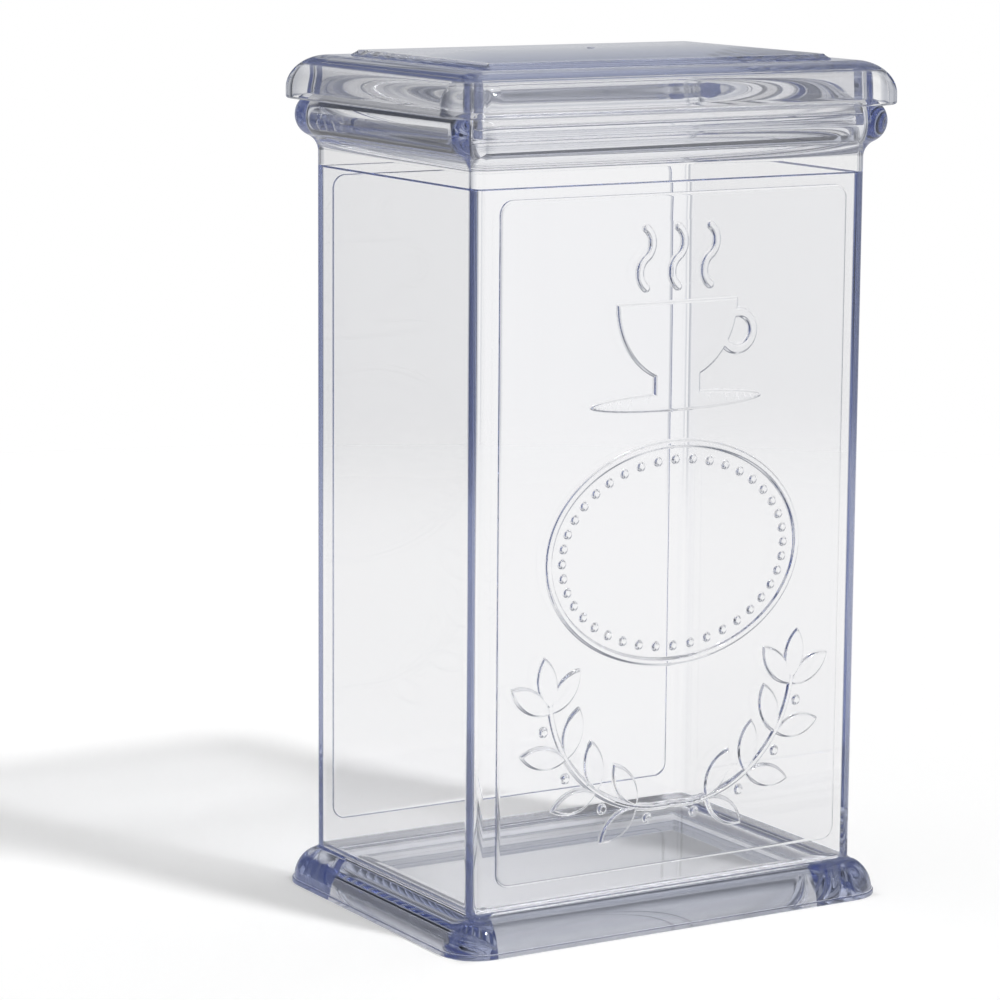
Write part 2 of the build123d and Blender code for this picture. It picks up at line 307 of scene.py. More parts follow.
# The ornament on the front panel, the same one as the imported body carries

ornament = {
    "height": 0.8,
    "edge": 0.78,  # width of the soft slope round each raised shape
    "foot": 0.2,  # how much of that slope lies outside the shape's outline
    "grain": 0.2,  # spacing of the mesh on the slopes
    "probe": 0.02,  # how far to each side a slope is measured
    "faceMargin": 1.0,  # left plain inside the panel's edge
    "topMargin": 8.0,
    "cup": {"width": 34.0, "height": 19.0, "footWidth": 13.0, "footHeight": 2.6,
            "handleRadius": 5.6, "handleWidth": 2.4, "handleDrop": 8.0},
    "saucer": {"width": 48.0, "height": 4.4},
    "steam": {"wave": 7.0, "sway": 1.75, "gap": 3.5, "width": 2.0, "spacing": 9.0},
    "plaque": {"sideMargin": 12.5, "gap": 7.0, "nest": 34.0, "ridge": 1.8,
               "beadInset": 4.6, "beadRadius": 1.1, "beadCount": 40},
    "sprig": {"sideMargin": 14.0, "bottomMargin": 15.0, "rise": 28.0, "bulge": 9.0, "stem": 1.6,
              "pairs": 4, "leafPlace": 0.8, "tipLeafPlace": 0.88, "berryPlace": 0.52,
              "berryRadius": 1.2, "berryOffset": 2.8},
    "leaf": {"length": 13.0, "width": 5.6, "lean": 48.0},
}

panel = {
    "sideMargin": 6.5,
    "bottom": 15.0,
    "topDepth": 26.9,
    "radius": 3.4,
    "height": 0.8,
    "upright": 0.3,  # how much of that stands straight up
    "slope": 0.9,  # width of the panel's soft edge
    "slopeSteps": 8,
    "cornerSteps": 10,
}
panelHalf = np.array([halfWidth - panel["sideMargin"], (rimZ - panel["topDepth"] - panel["bottom"]) / 2])
panelMiddle = np.array([0, panel["bottom"] + panelHalf[1]])


def leafDistance(points, base, heading):
    # Where two circles overlap, each through the leaf's base and tip
    half, bulge = ornament["leaf"]["length"] / 2, ornament["leaf"]["width"] / 2
    radius = (half**2 + bulge**2) / (2 * bulge)
    middle = base + heading * half
    across = np.array([-heading[1], heading[0]]) * (radius - bulge)
    return np.maximum(discDistance(points, middle + across, radius),
                      discDistance(points, middle - across, radius))


def turned(heading, degrees):
    # (x, y) turned to the left: (x cos t - y sin t, x sin t + y cos t)
    turn = math.radians(degrees)
    return np.array([heading[0] * math.cos(turn) - heading[1] * math.sin(turn),
                     heading[0] * math.sin(turn) + heading[1] * math.cos(turn)])


def ornamentShapes():
    # One function per raised shape, each from flat points to distances
    shapes = []
    motifs = ("cup", "saucer", "steam", "plaque", "sprig")
    cup, saucer, steam, plaque, sprig = (ornament[motif] for motif in motifs)

    # The cup with its handle and foot, the saucer and three wavy lines of steam
    steamZ = panelMiddle[1] + panelHalf[1] - ornament["topMargin"] - 2 * steam["wave"]
    rim = steamZ - steam["gap"]
    cupFoot = rim - cup["height"]
    saucerZ = cupFoot - cup["footHeight"] - saucer["height"] / 2
    bowl = (cup["width"] / 2, cup["height"])
    shapes.append(lambda flat: np.maximum(ovalDistance(flat, (0, rim), bowl), flat[:, 1] - rim))
    ringMiddle = cup["handleRadius"] - cup["handleWidth"] / 2
    handle = (cup["width"] / 2, rim - cup["handleDrop"])
    shapes.append(lambda flat: np.abs(discDistance(flat, handle, ringMiddle)) - cup["handleWidth"] / 2)
    shapes.append(lambda flat: boxDistance(flat, (0, cupFoot), (cup["footWidth"] / 2, cupFoot - saucerZ)))
    dish = (saucer["width"] / 2, saucer["height"] / 2)
    shapes.append(lambda flat: ovalDistance(flat, (0, saucerZ), dish))
    for x in steam["spacing"] * np.array([-1, 0, 1]):
        for lift, side in ((0, -1), (1, 1)):
            low = steamZ + lift * steam["wave"]
            bend = (x + side * steam["sway"], low + steam["wave"] / 2)
            arc = arcThrough((x, low), bend, (x, low + steam["wave"]))
            shapes.append(lambda flat, arc=arc: strokeDistance(flat, arc, steam["width"]))

    # The oval plaque's ridge, and the beads inside it
    sprigZ = panel["bottom"] + sprig["bottomMargin"]
    plaqueTop = saucerZ - saucer["height"] / 2 - plaque["gap"]
    half = np.array([panelHalf[0] - plaque["sideMargin"], (plaqueTop - sprigZ - plaque["nest"]) / 2])
    middle = np.array([0, plaqueTop - half[1]])
    ridge = plaque["ridge"] / 2
    shapes.append(lambda flat: np.abs(ovalDistance(flat, middle, half - ridge)) - ridge)
    turns = np.linspace(0, 2 * math.pi, plaque["beadCount"], endpoint=False)
    beads = middle + (half - plaque["beadInset"]) * np.stack([np.cos(turns), np.sin(turns)], 1)
    for bead in beads:
        shapes.append(lambda flat, bead=bead: discDistance(flat, bead, plaque["beadRadius"]))

    # Two bent stems from the middle outwards, each with pairs of leaves, a leaf at its tip and berries
    reach = panelHalf[0] - sprig["sideMargin"]
    for side in (-1, 1):
        bend = (side * (reach / 2 + sprig["bulge"]), sprigZ + (sprig["rise"] - sprig["bulge"]) / 2)
        arc = arcThrough((0, sprigZ), bend, (side * reach, sprigZ + sprig["rise"]))
        shapes.append(lambda flat, arc=arc: strokeDistance(flat, arc, sprig["stem"]))
        places = [(pair + sprig["leafPlace"], lean) for pair in range(sprig["pairs"])
                  for lean in (-ornament["leaf"]["lean"], ornament["leaf"]["lean"])]
        places.append((sprig["pairs"] - 1 + sprig["tipLeafPlace"], 0))
        for place, lean in places:
            base, heading = onArc(arc, place / sprig["pairs"])
            way = turned(heading, lean)
            shapes.append(lambda flat, base=base, way=way: leafDistance(flat, base, way))
        for pair in range(sprig["pairs"]):
            base, heading = onArc(arc, (pair + sprig["berryPlace"]) / sprig["pairs"])
            berry = base + turned(heading, -90 * side) * sprig["berryOffset"]
            shapes.append(lambda flat, berry=berry: discDistance(flat, berry, sprig["berryRadius"]))
    return shapes


def ornamentDistance(points, shapes):
    # The least of the distances to all the shapes
    return np.minimum.reduce([shape(points) for shape in shapes])


def eased(height, share):
    # A smooth step up: height * s^2 (3 - 2 s), where the share s goes from 0 to 1 across the edge
    return height * share**2 * (3 - 2 * share)


def ornamentField(points, shapes):
    # Height and slope of the raised shapes, with a smooth step across the edge of each
    def height(flat):
        share = (ornament["foot"] - ornamentDistance(flat, shapes)) / ornament["edge"]
        return eased(ornament["height"], np.clip(share, 0, 1))

    probe = ornament["probe"]
    slope = [(height(points + step) - height(points - step)) / (2 * probe)
             for step in ((probe, 0), (0, probe))]
    return height(points), np.stack(slope, 1)


def onWall(side, flat, height, slope):
    # Flat points (u, z) put on the front (side = -1) or back (side = 1) wall, at
    # (-side * u, side * (halfDepth + height), z)
    points = np.stack([-side * flat[:, 0], side * (halfDepth + height), flat[:, 1]], 1)
    normals = np.stack([side * slope[:, 0], np.full(len(flat), side), -slope[:, 1]], 1)
    return points, unit(normals)


def makePanel(gathered, side, wallLow, wallHigh, decorated):
    # The wall round the panel, the panel's soft edge, and the panel's face with its ornament
    straightHalf = halfWidth - plan["cornerRadius"]
    frameCorners = np.array([[x, z] for x in (-straightHalf, straightHalf) for z in (wallLow, wallHigh)])
    radius, steps = panel["radius"], panel["cornerSteps"]
    outline = roundedLoop(*panelHalf, radius, steps) + panelMiddle
    flat = np.vstack([frameCorners, outline])
    faces = trianglesIn(flat, lambda middles: boxDistance(middles, panelMiddle, panelHalf, radius))
    gathered.add(*onWall(side, flat, np.zeros(len(flat)), np.zeros((len(flat), 2))), faces)

    # A low upright edge, then a quarter of an ellipse that ends level with the face: at t it is
    # slope * (1 - cos t) further in, and rise * sin t higher than the upright
    turn = np.radians(np.linspace(0, 90, panel["slopeSteps"] + 1))[:, None, None]
    signs, outward = roundedCorners(steps)
    centres = signs * (panelHalf - radius) + panelMiddle
    rows = centres + (radius - panel["slope"] * (1 - np.cos(turn))) * outward
    rise = panel["height"] - panel["upright"]
    height = np.broadcast_to(panel["upright"] + rise * np.sin(turn), rows.shape[:2] + (1,))

    def standing(across, level):
        # Flat (u, z) with a level away from the wall's middle plane, as (x, y, z)
        return np.concatenate([-side * across[..., :1], side * level, across[..., 1:]], 2)

    low = standing(rows[:1], np.full_like(height[:1], halfDepth))
    high = low + [0, side * panel["upright"], 0]
    out = standing(outward[None], np.zeros_like(height[:1]))
    gathered.add(np.concatenate([low, high]), np.concatenate([out, out]), gridFaces(2, len(signs)))
    lift = np.broadcast_to(panel["slope"] * np.sin(turn), rows.shape[:2] + (1,))
    normals = unit(standing(rise * np.cos(turn) * outward, lift))
    gathered.add(standing(rows, halfDepth + height), normals, gridFaces(len(rows), len(signs)))

    face = rows[-1]
    if not decorated:
        level = np.full(len(face), panel["height"])
        gathered.add(*onWall(side, face, level, np.zeros((len(face), 2))), np.arange(len(face))[None])
        return

    # Points on a fine grid, kept only where the ornament's edges slope
    shapes = ornamentShapes()
    inside = panelHalf - panel["slope"] - ornament["faceMargin"]
    spread = [np.arange(-reach, reach, ornament["grain"]) for reach in inside]
    fine = np.stack(np.meshgrid(*spread), -1).reshape(-1, 2) + panelMiddle
    distance = ornamentDistance(fine, shapes)
    low = ornament["foot"] - ornament["edge"] - ornament["grain"]
    fine = fine[(distance > low) & (distance < ornament["foot"] + ornament["grain"])]
    flat = np.vstack([face, fine])
    height, slope = ornamentField(flat, shapes)
    gathered.add(*onWall(side, flat, panel["height"] + height, slope), trianglesIn(flat, None))


# The tub: floor, walls, collar, neck, foot and the hollow under it, as one closed surface

tub = {
    "thickness": 2.6,
    "floorTop": 7.9,
    "floorFillet": 2.8,
    "underside": 5.5,
    "ledgeDepth": 24.5,  # depths count down from the rim
    "ledgeRound": 0.35,
    "neckOffset": 1.6,
    "neckWall": 2.55,
    "rimRound": 0.45,
    "rimDrop": 0.03,  # keeps the rim from lying in one plane with the lid that rests on it
    "beadDepth": 12.0,
    "beadOffset": 0.25,
    "beadRadius": 5.4,
    "collarCove": 4.3,
    "footCove": 1.0,
    "footBowRadius": 7.8,
    "footBowOffset": 6.1,
    "flangeHeight": 1.3,
    "flangeRound": 0.3,
    "hollowOffset": -9.0,
    "hollowFillet": 2.0,
    "steps": {"fillet": 10, "bead": 26, "collarCove": 14, "footCove": 8, "footBow": 16},
}


def coveBeside(centre, radius, coveRadius, side):
    # A hollow arc that touches the wall and a round bow: its middle, and its angle at the bow. The
    # middle lies coveRadius out from the wall and radius + coveRadius from the bow's centre.
    rise = math.sqrt((radius + coveRadius) ** 2 - (coveRadius - centre[0]) ** 2)
    middle = (coveRadius, centre[1] + side * rise)
    return middle, math.degrees(math.atan2(centre[1] - middle[1], centre[0] - middle[0]))


def makeTub():
    # One profile from the floor up the inside, over the rim, down the outside and in under the foot,
    # carried round the wall's outline, with a flat cap at both ends
    gathered = Gathered()
    steps = tub["steps"]
    inner, neckInner = -tub["thickness"], tub["neckOffset"] - tub["neckWall"]
    capOffset = inner - tub["floorFillet"]
    beadCentre = (tub["beadOffset"], rimZ - tub["beadDepth"])
    cove, coveAngle = coveBeside(beadCentre, tub["beadRadius"], tub["collarCove"], -1)
    neckAngle = math.degrees(math.acos((tub["neckOffset"] - tub["beadOffset"]) / tub["beadRadius"]))
    neckFoot = beadCentre[1] + tub["beadRadius"] * math.sin(math.radians(neckAngle))
    bowCentre = (tub["footBowOffset"] - tub["footBowRadius"], tub["flangeHeight"])
    footCove, footAngle = coveBeside(bowCentre, tub["footBowRadius"], tub["footCove"], 1)
    ledge, rimTop = rimZ - tub["ledgeDepth"], rimZ - tub["rimDrop"]
    wallSide = straight((0, cove[1]), (0, footCove[1]))

    filletTop = tub["floorTop"] + tub["floorFillet"]
    way = [curve((capOffset, filletTop), tub["floorFillet"], -90, 0, steps["fillet"])]
    way += roundedWay([
        (inner, filletTop, 0),
        (inner, ledge, tub["ledgeRound"]),
        (neckInner, ledge, tub["ledgeRound"]),
        (neckInner, rimTop, tub["rimRound"]),
        (tub["neckOffset"], rimTop, tub["rimRound"]),
        (tub["neckOffset"], neckFoot, 0),
    ])
    way.append(curve(beadCentre, tub["beadRadius"], neckAngle, coveAngle - 180, steps["bead"]))
    way.append(curve(cove, tub["collarCove"], coveAngle, 180, steps["collarCove"]))
    way.append(wallSide)
    way.append(curve(footCove, tub["footCove"], 180, 360 + footAngle, steps["footCove"]))
    way.append(curve(bowCentre, tub["footBowRadius"], footAngle + 180, 0, steps["footBow"]))
    way += roundedWay([
        (tub["footBowOffset"], tub["flangeHeight"], 0),
        (plan["flange"], tub["flangeHeight"], tub["flangeRound"]),
        (plan["flange"], 0, tub["flangeRound"]),
        (tub["hollowOffset"], 0, tub["flangeRound"]),
        (tub["hollowOffset"], tub["underside"] - tub["hollowFillet"], 0),
    ])
    hollowMiddle = (tub["hollowOffset"] - tub["hollowFillet"], tub["underside"] - tub["hollowFillet"])
    way.append(curve(hollowMiddle, tub["hollowFillet"], 0, 90, steps["fillet"]))

    # The wall is left open between the corners at the back and at the front, for the two panels
    stationsPerCorner = plan["cornerSteps"] + 1
    windows = (stationsPerCorner - 1, 3 * stationsPerCorner - 1)
    carryRound(gathered, way, skipOn=wallSide[0], skip=windows)
    capLoop(gathered, capOffset, tub["floorTop"], 1)
    capLoop(gathered, hollowMiddle[0], tub["underside"], -1)
    makePanel(gathered, -1, footCove[1], cove[1], True)
    makePanel(gathered, 1, footCove[1], cove[1], False)
    return gathered.makePiece("tub")


# The lid: skirt, round shoulder, raised and arched middle, and the plug with its groove

cover = {
    "thickness": 2.4,
    "skirtOffset": 7.8,
    "skirtWall": 1.9,
    "skirtDrop": 8.0,
    "skirtUpright": 2.4,
    "skirtRound": 0.6,
    "skirtInnerRound": 0.3,
    "shoulderOffset": -2.6,
    "ceilingOffset": 1.9,
    "ceilingRing": 0.6,  # width of the narrow ring between the ceiling's cap and the plug
    "plugOffset": -1.5,
    "plugWall": 2.4,
    "plugRound": 0.4,
    "plugFillets": (0.5, 0.4),  # under the ceiling, inside and outside
    "grooveDepth": 0.85,
    "grooveRound": 0.1,
    "grooveLipRound": 0.12,
    "steps": {"corner": 4, "skirt": 14, "shoulder": 22},
    "plateauOffset": -6.3,
    "plateauRadius": 1.5,
    "plateauStep": 1.2,
    "plateauCrown": 1.0,
    "plateauBevel": (2.1, 1.15),  # width and height
    "archGrid": (9, 33),  # points along X and along Y, of which the outermost are left out
    "gateRadius": 0.9,
    "gateHeight": 0.18,
    "gateEdge": 0.5,  # width of the slope round the gate mark
    "gateRings": (0.2, 0.4, 7),  # radius of the first, how far the last lies past the mark, how many
    "gateSpokes": 24,
    "gateClear": 0.6,  # no other points this near outside the mark
}


def makeCover():
    # One profile carried round the wall's outline: down inside the plug, round its end and up past its
    # groove, out under the ceiling, down inside the skirt, round its edge and up over the shoulder
    gathered = Gathered()
    steps = cover["steps"]
    ceiling, top = rimZ, rimZ + cover["thickness"]
    low = rimZ - cover["skirtDrop"]
    spring = low + cover["skirtUpright"]
    plugEnd = lidLow.z
    plugInner = cover["plugOffset"] - cover["plugWall"]
    grooveOffset = cover["plugOffset"] - cover["grooveDepth"]
    skirtInner = cover["skirtOffset"] - cover["skirtWall"]
    capOffset = plugInner - cover["ceilingRing"]
    filletInside, filletOutside = cover["plugFillets"]
    way = roundedWay([
        (capOffset, ceiling, 0),
        (plugInner, ceiling, filletInside),
        (plugInner, plugEnd, cover["plugRound"]),
        (cover["plugOffset"], plugEnd, cover["plugRound"]),
        (cover["plugOffset"], sealLow.z, cover["grooveLipRound"]),
        (grooveOffset, sealLow.z, cover["grooveRound"]),
        (grooveOffset, sealHigh.z, cover["grooveRound"]),
        (cover["plugOffset"], sealHigh.z, cover["grooveLipRound"]),
        (cover["plugOffset"], ceiling, filletOutside),
        (cover["ceilingOffset"], ceiling, 0),
    ], steps["corner"])
    hollowRadii = (skirtInner - cover["ceilingOffset"], ceiling - spring)
    way.append(curve((cover["ceilingOffset"], spring), hollowRadii, 90, 0, steps["skirt"]))
    way += roundedWay([
        (skirtInner, spring, 0),
        (skirtInner, low, cover["skirtInnerRound"]),
        (cover["skirtOffset"], low, cover["skirtRound"]),
        (cover["skirtOffset"], spring, 0),
    ])
    shoulderRadii = (cover["skirtOffset"] - cover["shoulderOffset"], top - spring)
    way.append(curve((cover["shoulderOffset"], spring), shoulderRadii, 0, 90, steps["shoulder"]))
    carryRound(gathered, way, air=-1)
    capLoop(gathered, capOffset, ceiling, -1)
    makePlateau(gathered, top)
    return gathered.makePiece("cover")


def makePlateau(gathered, top):
    # The top is a wide arch across Y, a circle's cap through both long edges and the crown: its
    # height is edge + crown - archRadius + sqrt(archRadius^2 - y^2), with the gate mark added
    half = np.array([halfWidth, halfDepth]) + cover["plateauOffset"]
    crown = cover["plateauCrown"]
    archRadius = (half[1] ** 2 + crown**2) / (2 * crown)
    edgeZ = top + cover["plateauStep"]

    def arch(flat):
        reach = np.sqrt(archRadius**2 - flat[:, 1] ** 2)
        height = edgeZ + crown - archRadius + reach
        slope = np.stack([np.zeros(len(flat)), -flat[:, 1] / reach], 1)
        # The gate mark's edge is a smooth step, whose slope is height * 6 s (1 - s) / edge
        away = np.linalg.norm(flat, axis=1)
        edge = cover["gateEdge"]
        share = np.clip((cover["gateRadius"] + edge / 2 - away) / edge, 0, 1)
        height = height + eased(cover["gateHeight"], share)
        steep = -cover["gateHeight"] * 6 * share * (1 - share) / edge
        return height, slope + (steep / np.maximum(away, tiny))[:, None] * flat

    steps, radius = plan["cornerSteps"], cover["plateauRadius"]
    width, drop = cover["plateauBevel"]
    _, outward = roundedCorners(steps)
    shoulder = wallLoop(cover["shoulderOffset"])
    foot = roundedLoop(*half, radius, steps)
    level = np.full(len(foot), top)
    flatRing = np.concatenate([np.column_stack([shoulder, level]), np.column_stack([foot, level])])
    gathered.add(flatRing, np.tile([0, 0, 1.0], (len(flatRing), 1)), gridFaces(2, len(foot)))

    # The upright side, then a flat bevel that ends on the arch
    inner = roundedLoop(*half, radius, steps, inset=width)
    crestZ = arch(inner)[0]
    bevel = np.stack([np.column_stack([foot, crestZ - drop]), np.column_stack([inner, crestZ])])
    side = np.stack([np.column_stack([foot, level]), bevel[0]])
    flatOut = np.column_stack([outward, np.zeros(len(outward))])
    gathered.add(side, np.stack([flatOut, flatOut]), gridFaces(2, len(foot)))
    sloped = (drop * flatOut + [0, 0, width]) / math.hypot(drop, width)
    gathered.add(bevel, np.stack([sloped, sloped]), gridFaces(2, len(foot)))

    # The arched face has a grid of points, and rings of them in and round the gate mark
    alongX, alongY = cover["archGrid"]
    endX, endY = half[0] - width, half[1] - radius
    spread = np.linspace(-endX, endX, alongX)[1:-1], np.linspace(-endY, endY, alongY)[1:-1]
    across = np.stack(np.meshgrid(*spread), -1).reshape(-1, 2)
    across = across[np.linalg.norm(across, axis=1) > cover["gateRadius"] + cover["gateClear"]]
    first, past, count = cover["gateRings"]
    rings = np.linspace(first, cover["gateRadius"] + past, count)[:, None, None]
    ringTurn = np.linspace(0, 2 * math.pi, cover["gateSpokes"], endpoint=False)
    gate = (rings * np.stack([np.cos(ringTurn), np.sin(ringTurn)], 1)).reshape(-1, 2)
    flat = np.vstack([inner, across, gate])
    height, slope = arch(flat)
    normals = unit(np.column_stack([-slope, np.ones(len(flat))]))
    gathered.add(np.column_stack([flat, height]), normals, trianglesIn(flat, None))


# The soft seal in the plug's groove

seal = {"outerOffset": -1.25, "lipRound": 0.55, "innerRound": 0.12, "slack": 0.02}


def makeSeal():
    # A closed profile carried round the groove, a little smaller than it all round
    gathered = Gathered()
    inner = cover["plugOffset"] - cover["grooveDepth"] + seal["slack"]
    low, high = sealLow.z + seal["slack"], sealHigh.z - seal["slack"]
    middle = (low + high) / 2
    outer = seal["outerOffset"]
    way = roundedWay([
        (inner, middle, 0),
        (inner, low, seal["innerRound"]),
        (outer, low, seal["lipRound"]),
        (outer, high, seal["lipRound"]),
        (inner, high, seal["innerRound"]),
        (inner, middle, 0),
    ])
    carryRound(gathered, way, air=-1)
    return gathered.makePiece("seal")


# Shader maths written as expressions: a wrapped socket adds Math nodes as it is used

class Wire:
    def __init__(self, tree, socket):
        self.tree, self.socket = tree, socket

    def maths(self, operation, first, second=None):
        made = self.tree.nodes.new("ShaderNodeMath")
        made.operation = operation
        for place, value in enumerate(v for v in (first, second) if v is not None):
            if isinstance(value, Wire):
                self.tree.links.new(value.socket, made.inputs[place])
            else:
                made.inputs[place].default_value = value
        return Wire(self.tree, made.outputs[0])

    def __add__(self, other):
        return self.maths("ADD", self, other)

    __radd__ = __add__

    def __mul__(self, other):
        return self.maths("MULTIPLY", self, other)

    __rmul__ = __mul__

    def __sub__(self, other):
        return self.maths("SUBTRACT", self, other)

    def __rsub__(self, other):
        return self.maths("SUBTRACT", other, self)

    def __truediv__(self, other):
        return self.maths("DIVIDE", self, other)

    def __rtruediv__(self, other):
        return self.maths("DIVIDE", other, self)

    def __pow__(self, other):
        return self.maths("POWER", self, other)

    def clamp(self):
        made = self.maths("ADD", self, 0.0)
        made.socket.node.use_clamp = True
        return made

    def larger(self, other):
        return self.maths("MAXIMUM", self, other)

    def size(self):
        return self.maths("ABSOLUTE", self)


class Shader:
    def __init__(self, owner):
        owner.use_nodes = True
        self.tree = owner.node_tree
        self.tree.nodes.clear()

    def add(self, kind, settings=None, output=0, **values):
        # Settings go on first, then each socket takes a value or a link. A socket goes by its name,
        # with _ for a space, or by _ and its number.
        made = self.tree.nodes.new(kind)
        for name, value in (settings or {}).items():
            setattr(made, name, value)
        for name, value in values.items():
            key = int(name[1:]) if name[1:].isdigit() else name.replace("_", " ")
            socket = made.inputs[key]
            if isinstance(value, Wire):
                self.tree.links.new(value.socket, socket)
            else:
                socket.default_value = value
        return Wire(self.tree, made.outputs[output]) if made.outputs else None


plastic = {
    "ior": 1.55,
    "tint": (1.0, 0.9975, 0.994, 1),
    "thickTint": (0.34, 0.44, 0.78, 1),  # the colour left when light goes a long way inside
    "tintDensity": 8.0,  # per metre
    "roughness": 0.012,
    "roughnessSwing": 0.02,
    "dull": {"Scale": 260.0, "Detail": 3.0, "Roughness": 0.5},  # noise that the roughness follows
    "dullFloor": 0.45,  # lower noise than this adds no roughness
    "waviness": 0.02,
    "waves": {"Scale": 18.0, "Detail": 2.0, "Roughness": 0.4},  # noise that the bumps follow
    "waveHeight": 0.004,
    "edgeShade": 1.6,  # how fast the shadow deepens where the surface is seen edge on
}
softPlastic = dict(plastic, ior=1.45, tintDensity=4.0, roughness=0.25, waviness=0.1)


def makePlastic(name, look):
    material = bpy.data.materials.new(name)
    shader = Shader(material)
    place = shader.add("ShaderNodeTexCoord", output="Object")
    waves = shader.add("ShaderNodeTexNoise", Vector=place, **look["waves"])
    dull = shader.add("ShaderNodeTexNoise", Vector=place, **look["dull"])
    rough = look["roughness"] + look["roughnessSwing"] * (dull - look["dullFloor"]).clamp()
    bump = shader.add("ShaderNodeBump", Strength=look["waviness"], Distance=look["waveHeight"],
                      Height=waves)
    skin = shader.add("ShaderNodeBsdfPrincipled", Base_Color=look["tint"], Roughness=rough,
                      IOR=look["ior"], Transmission_Weight=1.0, Normal=bump)
    # The more a surface is seen edge on from the lamp, the less light it lets through to the floor
    clear = shader.add("ShaderNodeBsdfTransparent", Color=(1, 1, 1, 1))
    black = shader.add("ShaderNodeBsdfTransparent", Color=(0, 0, 0, 1))
    edgeOn = shader.add("ShaderNodeLayerWeight", output="Facing", Blend=0.5)
    shade = (look["edgeShade"] * edgeOn * edgeOn).clamp()
    shadow = shader.add("ShaderNodeMixShader", _0=shade, _1=clear, _2=black)
    isShadow = shader.add("ShaderNodeLightPath", output="Is Shadow Ray")
    surface = shader.add("ShaderNodeMixShader", _0=isShadow, _1=skin, _2=shadow)
    depth = shader.add("ShaderNodeVolumeAbsorption", Color=look["thickTint"], Density=look["tintDensity"])
    shader.add("ShaderNodeOutputMaterial", Surface=surface, Volume=depth)
    return material


# The pieces themselves

clearPlastic = makePlastic("clearPlastic", plastic)
softSeal = makePlastic("softSeal", softPlastic)

pieces = {
    "tub": (makeTub(), "canister", "canister_body", "body_plastic", clearPlastic),
    "cover": (makeCover(), "lid_body", "lid", "lid_plastic", clearPlastic),
    "seal": (makeSeal(), "lid_body", "seal_ring", "seal", softSeal),
}
for piece, body, node, slot, material in pieces.values():
    piece.data.materials.append(material)
    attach(piece, body)
    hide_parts(node)
print("pieces placed")


# The camera, at the photograph's viewing angle

view = {
    "yaw": 31.12,  # degrees to the right of +Y
    "pitch": 9.80,  # degrees downwards
    "roll": 0.41,
    "lens": 140.4,  # in millimetres, as the sensor's width is
    "sensor": 36,
    "clip": (0.01, 50),  # in metres
    "place": (-505.7, -796.9, 260.6),  # in millimetres
}


def makeCamera():
    yaw, pitch, roll = (math.radians(view[angle]) for angle in ("yaw", "pitch", "roll"))
    ahead = Vector((math.sin(yaw) * math.cos(pitch), math.cos(yaw) * math.cos(pitch), -math.sin(pitch)))
    right = Vector((math.cos(yaw), -math.sin(yaw), 0))
    up = right.cross(ahead)
    rolledRight = right * math.cos(roll) + up * math.sin(roll)
    rolledUp = up * math.cos(roll) - right * math.sin(roll)
    lens = bpy.data.cameras.new("camera")
    lens.lens, lens.sensor_width = view["lens"], view["sensor"]
    lens.clip_start, lens.clip_end = view["clip"]
    camera = bpy.data.objects.new("camera", lens)
    bpy.context.collection.objects.link(camera)
    turn = Matrix((rolledRight, rolledUp, -ahead)).transposed()
    camera.matrix_world = Matrix.Translation(Vector(view["place"]) * millimetre) @ turn.to_4x4()
    bpy.context.scene.camera = camera


# The floor, the lamp and the surroundings

# Lengths here are in metres and turns in degrees from +X. Heights are the sine of the angle above the
# horizon, and a reach is how much a direction points along the turn beside it, from -1 to 1. A pair
# of lengths, heights or reaches is where a smooth step starts and ends.
studio = {
    "floorHalf": 0.9,
    "floorDrop": 0.00005,
    "floorColour": (0.80, 0.80, 0.80, 1),
    "floorFade": (0.45, 0.85),  # distance at which the floor runs out into the backdrop
    "floorWhite": 1.01,  # how bright the glow makes the lit floor look
    "paintedShadowLeft": 0.3,  # how much of the floor's glow is left under the canister, where a shadow is painted on the floor
    "paintedShadowEdge": (-0.004, 0.001),  # distance outside the foot at which the painted shadow ends and the whole glow is back
    "ambient": 0.5,  # what the surroundings shed on the floor
    "mirrored": 0.62,  # how bright a reflection shows the studio
    "dusk": 0.68,  # brightness between the backdrop and the lamp overhead
    "duskLift": 0.95,  # how much of that dusk is missing straight behind the canister
    "duskLiftTurn": 50.0,
    "duskLiftReach": (0.40, 0.75),
    "duskLiftHeight": (0.18, 0.36),
    "flagTurn": 125.0,  # where a dark flag stands
    "flagReach": (0.75, 0.95),
    "flagShade": 0.8,  # how much light the flag takes
    "backdropTop": (0.05, 0.22),  # height at which the backdrop darkens
    "overhead": (0.62, 0.88),  # height at which the soft lamp overhead starts
    "panels": 9,  # bright panels round the object, with dimmer gaps between them
    "panelTurn": 54.0,  # where one panel's middle is
    "panelLevel": (0.75, 0.55),  # brightness at the panels' edges, and the swing to each side
    "panelFoot": (-0.02, 0.06),  # height above which the gaps are whole
    "lowGaps": 0.45,  # how much of the gaps is left below
    "dimTint": (0.74, 0.80, 0.96, 1),  # colour that the dimmest surroundings tend to
    "bounces": 96,  # light passes through many surfaces in clear plastic
}
sun = {"azimuth": -69.0, "elevation": 52.0, "angle": 6.0, "strength": 1.8}  # angles in degrees


def seenByEye(shader):
    # Three values for the ray that looks: 1 for one straight from the camera, 1 for any that the eye
    # follows, also through or in the plastic, and the brightness left after a reflection
    camera = shader.add("ShaderNodeLightPath", output="Is Camera Ray")
    seen = camera
    for ray in ("Is Glossy Ray", "Is Transmission Ray"):
        seen = seen.larger(shader.add("ShaderNodeLightPath", output=ray))
    seen = seen * (1 - shader.add("ShaderNodeLightPath", output="Diffuse Depth").clamp())
    reflected = shader.add("ShaderNodeLightPath", output="Glossy Depth").clamp()
    return camera, seen, 1 - reflected * (1 - studio["mirrored"])


def smoothStep(wire, start, end):
    # 0 before start, 1 past end, and 3t^2 - 2t^3 between
    share = ((wire - start) / (end - start)).clamp()
    return share * share * (3 - 2 * share)


